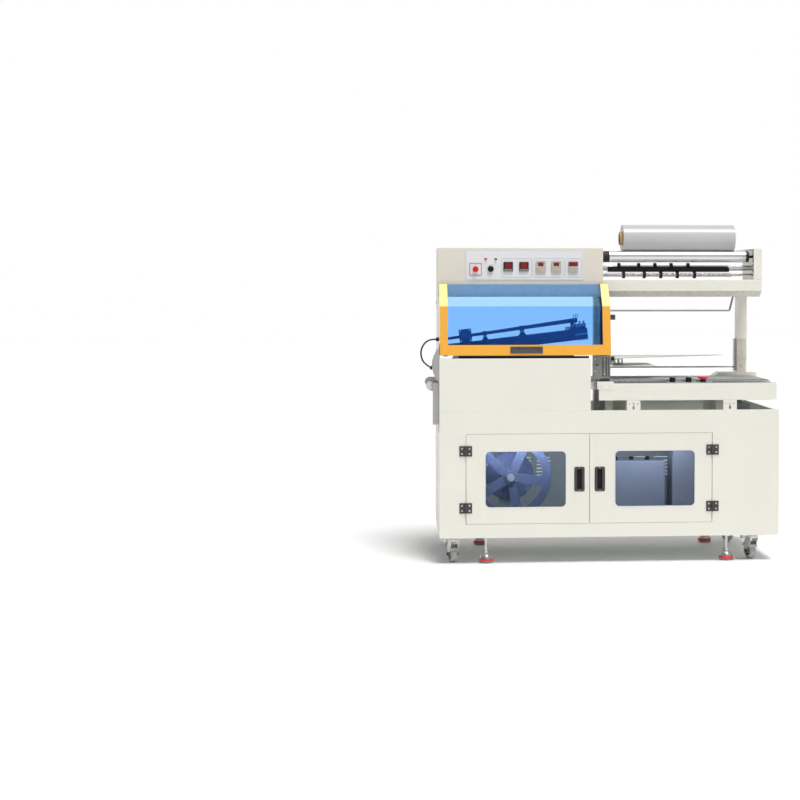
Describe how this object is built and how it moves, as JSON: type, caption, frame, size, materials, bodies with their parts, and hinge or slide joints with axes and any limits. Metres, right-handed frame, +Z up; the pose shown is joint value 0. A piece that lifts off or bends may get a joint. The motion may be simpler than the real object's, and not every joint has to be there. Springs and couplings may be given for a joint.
{
  "type": "l bar sealer",
  "caption": "Automatic L-bar film sealer on a wheeled cabinet, with a hinged blue cover, belt infeed and powered film unwinder.",
  "frame": {"origin": "on the floor, in the middle of the machine's box", "axes": "+X along the machine from outfeed to infeed, +Y from the operator to the rear, +Z up"},
  "size_m": [1.6887, 0.6503, 1.5956],
  "materials": {
    "cream_paint": "smooth satin enamel",
    "grey_paint": "satin enamel",
    "orange_paint": "smooth gloss enamel",
    "blue_glazing": "clear blue tinted sheet",
    "smoked_glazing": "dark tinted sheet",
    "dark_plastic": "fine moulded grain",
    "yellow_handle": "satin enamel",
    "jaw_paint": "milled",
    "jaw_metal": "milled",
    "white_plate": "satin",
    "instrument_plastic": "moulded",
    "red_plastic": "moulded",
    "black_plastic": "moulded",
    "belt_grey": "woven belt",
    "aluminium": "turned",
    "bright_steel": "brushed",
    "zinc_steel": "zinc plated",
    "wheel_rubber": "smooth tread",
    "film": "clear wound film",
    "board": "wound board",
    "reel_blue": "moulded",
    "motor_grey": "painted casting",
    "box_grey": "moulded enclosure",
    "cable_rubber": "smooth sheath"
  },
  "bodies": {
    "frame": {"base_floor_and_deck": "cream_paint", "base_front_frame": "cream_paint", "base_walls": "cream_paint", "cable_glands": "dark_plastic", "control_head": "cream_paint", "conveyor_beds": "aluminium", "conveyor_belts": "belt_grey", "drive_motors": "motor_grey", "electrical_box": "box_grey", "film_guides": "bright_steel", "hinge_fixings": "dark_plastic", "jaw_cable": "cable_rubber", "left_side_guards": "grey_paint", "lower_jaw": "jaw_metal", "panel_instruments": "instrument_plastic", "panel_plate": "white_plate", "reel_stand": "grey_paint", "sealing_frame": "cream_paint", "support_post": "cream_paint", "table_frame": "cream_paint", "unwinder_frame": "cream_paint"},
    "left_door_leaf": {"left_door": "cream_paint", "left_door_window": "smoked_glazing", "left_door_fittings": "dark_plastic"},
    "right_door_leaf": {"right_door": "cream_paint", "right_door_window": "smoked_glazing", "right_door_fittings": "dark_plastic"},
    "cover": {"cover_frame": "orange_paint", "cover_glass": "blue_glazing", "cover_handle": "yellow_handle"},
    "jaw": {"upper_jaw": "jaw_paint"},
    "cross_bar": {"lower_cross_jaw": "jaw_metal"},
    "switch_knob": {"main_switch_knob": "red_plastic"},
    "panel_plunger": {"panel_button": "dark_plastic"},
    "left_push": {"table_button_left": "black_plastic"},
    "right_push": {"table_button_right": "black_plastic"},
    "stop_push": {"emergency_button": "red_plastic"},
    "roll": {"film_roll": "film", "film_core": "board"},
    "carrier_front": {"carrier_roller_front": "aluminium"},
    "carrier_rear": {"carrier_roller_rear": "aluminium"},
    "drive": {"drive_roller": "aluminium"},
    "needle_rings": {"needle_ring_shaft": "aluminium"},
    "press_rings": {"press_ring_roller": "aluminium"},
    "dancer": {"dancer_bar": "bright_steel"},
    "outfeed_end": {"outfeed_roller": "aluminium"},
    "infeed_end": {"infeed_roller": "aluminium"},
    "reel": {"waste_reel": "reel_blue"},
    "fork_front_left": {"caster_fork_front_left": "zinc_steel"},
    "wheel_front_left": {"caster_wheel_front_left": "wheel_rubber"},
    "foot_front_left": {"levelling_foot_front_left": "bright_steel"},
    "fork_front_right": {"caster_fork_front_right": "zinc_steel"},
    "wheel_front_right": {"caster_wheel_front_right": "wheel_rubber"},
    "foot_front_right": {"levelling_foot_front_right": "bright_steel"},
    "fork_rear_left": {"caster_fork_rear_left": "zinc_steel"},
    "wheel_rear_left": {"caster_wheel_rear_left": "wheel_rubber"},
    "foot_rear_left": {"levelling_foot_rear_left": "bright_steel"},
    "fork_rear_right": {"caster_fork_rear_right": "zinc_steel"},
    "wheel_rear_right": {"caster_wheel_rear_right": "wheel_rubber"},
    "foot_rear_right": {"levelling_foot_rear_right": "bright_steel"}
  },
  "joints": [
    {"name": "left_door_hinge", "type": "hinge", "parent": "frame", "child": "left_door_leaf", "pos_m": [-0.648, -0.32015, 0.265], "axis": [0, 0, -1], "range_deg": [0, 110]},
    {"name": "right_door_hinge", "type": "hinge", "parent": "frame", "child": "right_door_leaf", "pos_m": [0.513, -0.32015, 0.265], "axis": [0, 0, 1], "range_deg": [0, 110]},
    {"name": "cover_hinge", "type": "hinge", "parent": "frame", "child": "cover", "pos_m": [0, -0.18685, 1.303], "axis": [-1, 0, 0], "range_deg": [0, 75]},
    {"name": "jaw_pivot", "type": "hinge", "parent": "frame", "child": "jaw", "pos_m": [-0.74, -0.27485, 0.994], "axis": [0, 1, 0], "range_deg": [0, 6.6]},
    {"name": "cross_jaw_lift", "type": "slide", "parent": "frame", "child": "cross_bar", "axis": [0, 0, 1], "range_m": [0, 0.1187]},
    {"name": "main_switch_turn", "type": "hinge", "parent": "frame", "child": "switch_knob", "pos_m": [-0.5943, -0.17685, 1.378], "axis": [0, 1, 0], "range_deg": [0, 90]},
    {"name": "panel_button_press", "type": "slide", "parent": "frame", "child": "panel_plunger", "axis": [0, 1, 0], "range_m": [0, 0.0035], "stiffness_N_per_m": 400, "springref_m": -0.002},
    {"name": "left_button_press", "type": "slide", "parent": "frame", "child": "left_push", "axis": [0, 0, -1], "range_m": [0, 0.004], "stiffness_N_per_m": 600, "springref_m": -0.003},
    {"name": "right_button_press", "type": "slide", "parent": "frame", "child": "right_push", "axis": [0, 0, -1], "range_m": [0, 0.004], "stiffness_N_per_m": 600, "springref_m": -0.003},
    {"name": "stop_button_press", "type": "slide", "parent": "frame", "child": "stop_push", "axis": [0, 0, -1], "range_m": [0, 0.004], "stiffness_N_per_m": 600, "springref_m": -0.003},
    {"name": "film_roll_spin", "type": "hinge", "parent": "frame", "child": "roll", "pos_m": [0, -0.02485, 1.52856], "axis": [1, 0, 0], "continuous": true},
    {"name": "carrier_front_spin", "type": "hinge", "parent": "frame", "child": "carrier_front", "pos_m": [0, -0.05985, 1.441], "axis": [1, 0, 0], "continuous": true},
    {"name": "carrier_rear_spin", "type": "hinge", "parent": "frame", "child": "carrier_rear", "pos_m": [0, 0.01015, 1.441], "axis": [1, 0, 0], "continuous": true},
    {"name": "needle_ring_spin", "type": "hinge", "parent": "frame", "child": "needle_rings", "pos_m": [0, 0.00202, 1.393], "axis": [1, 0, 0], "continuous": true},
    {"name": "drive_roller_spin", "type": "hinge", "parent": "frame", "child": "drive", "pos_m": [0, -0.02485, 1.379], "axis": [1, 0, 0], "continuous": true},
    {"name": "press_ring_spin", "type": "hinge", "parent": "frame", "child": "press_rings", "pos_m": [0, -0.03836, 1.353], "axis": [1, 0, 0], "continuous": true},
    {"name": "dancer_swing", "type": "hinge", "parent": "frame", "child": "dancer", "pos_m": [0, -0.01485, 1.29], "axis": [1, 0, 0], "range_deg": [-30, 30]},
    {"name": "outfeed_roller_spin", "type": "hinge", "parent": "frame", "child": "outfeed_end", "pos_m": [-0.804, 0, 0.831], "axis": [0, 1, 0], "continuous": true},
    {"name": "infeed_roller_spin", "type": "hinge", "parent": "frame", "child": "infeed_end", "pos_m": [0.791, 0, 0.831], "axis": [0, 1, 0], "continuous": true},
    {"name": "waste_reel_spin", "type": "hinge", "parent": "frame", "child": "reel", "pos_m": [-0.427, 0, 0.389], "axis": [0, 1, 0], "continuous": true},
    {"name": "swivel_front_left", "type": "hinge", "parent": "frame", "child": "fork_front_left", "pos_m": [-0.702, -0.24485, 0.1187], "axis": [0, 0, 1], "continuous": true},
    {"name": "wheel_spin_front_left", "type": "hinge", "parent": "fork_front_left", "child": "wheel_front_left", "pos_m": [-0.70616, -0.22529, 0.0385], "axis": [-0.9781, -0.2079, 0], "continuous": true},
    {"name": "swivel_front_right", "type": "hinge", "parent": "frame", "child": "fork_front_right", "pos_m": [0.719, -0.24485, 0.1187], "axis": [0, 0, 1], "continuous": true},
    {"name": "wheel_spin_front_right", "type": "hinge", "parent": "fork_front_right", "child": "wheel_front_right", "pos_m": [0.71382, -0.22553, 0.0385], "axis": [-0.9659, -0.2588, 0], "continuous": true},
    {"name": "swivel_rear_left", "type": "hinge", "parent": "frame", "child": "fork_rear_left", "pos_m": [-0.702, 0.25015, 0.1187], "axis": [0, 0, 1], "continuous": true},
    {"name": "wheel_spin_rear_left", "type": "hinge", "parent": "fork_rear_left", "child": "wheel_rear_left", "pos_m": [-0.70478, 0.26996, 0.0385], "axis": [-0.9903, -0.1392, 0], "continuous": true},
    {"name": "swivel_rear_right", "type": "hinge", "parent": "frame", "child": "fork_rear_right", "pos_m": [0.719, 0.25015, 0.1187], "axis": [0, 0, 1], "continuous": true},
    {"name": "wheel_spin_rear_right", "type": "hinge", "parent": "fork_rear_right", "child": "wheel_rear_right", "pos_m": [0.71282, 0.26917, 0.0385], "axis": [-0.9511, -0.309, 0], "continuous": true},
    {"name": "foot_screw_front_left", "type": "slide", "parent": "frame", "child": "foot_front_left", "axis": [0, 0, 1], "range_m": [-0.03, 0]},
    {"name": "foot_screw_front_right", "type": "slide", "parent": "frame", "child": "foot_front_right", "axis": [0, 0, 1], "range_m": [-0.03, 0]},
    {"name": "foot_screw_rear_left", "type": "slide", "parent": "frame", "child": "foot_rear_left", "axis": [0, 0, 1], "range_m": [-0.03, 0]},
    {"name": "foot_screw_rear_right", "type": "slide", "parent": "frame", "child": "foot_rear_right", "axis": [0, 0, 1], "range_m": [-0.03, 0]}
  ],
  "couplings": [
    {"joint": "cross_jaw_lift", "follows": "jaw_pivot", "m_per_rad": 1.0305},
    {"joint": "carrier_front_spin", "follows": "film_roll_spin", "ratio": -2.4815},
    {"joint": "carrier_rear_spin", "follows": "film_roll_spin", "ratio": -2.4815},
    {"joint": "drive_roller_spin", "follows": "film_roll_spin", "ratio": -5.5833},
    {"joint": "needle_ring_spin", "follows": "film_roll_spin", "ratio": 3.7222},
    {"joint": "press_ring_spin", "follows": "film_roll_spin", "ratio": 3.9412}
  ]
}
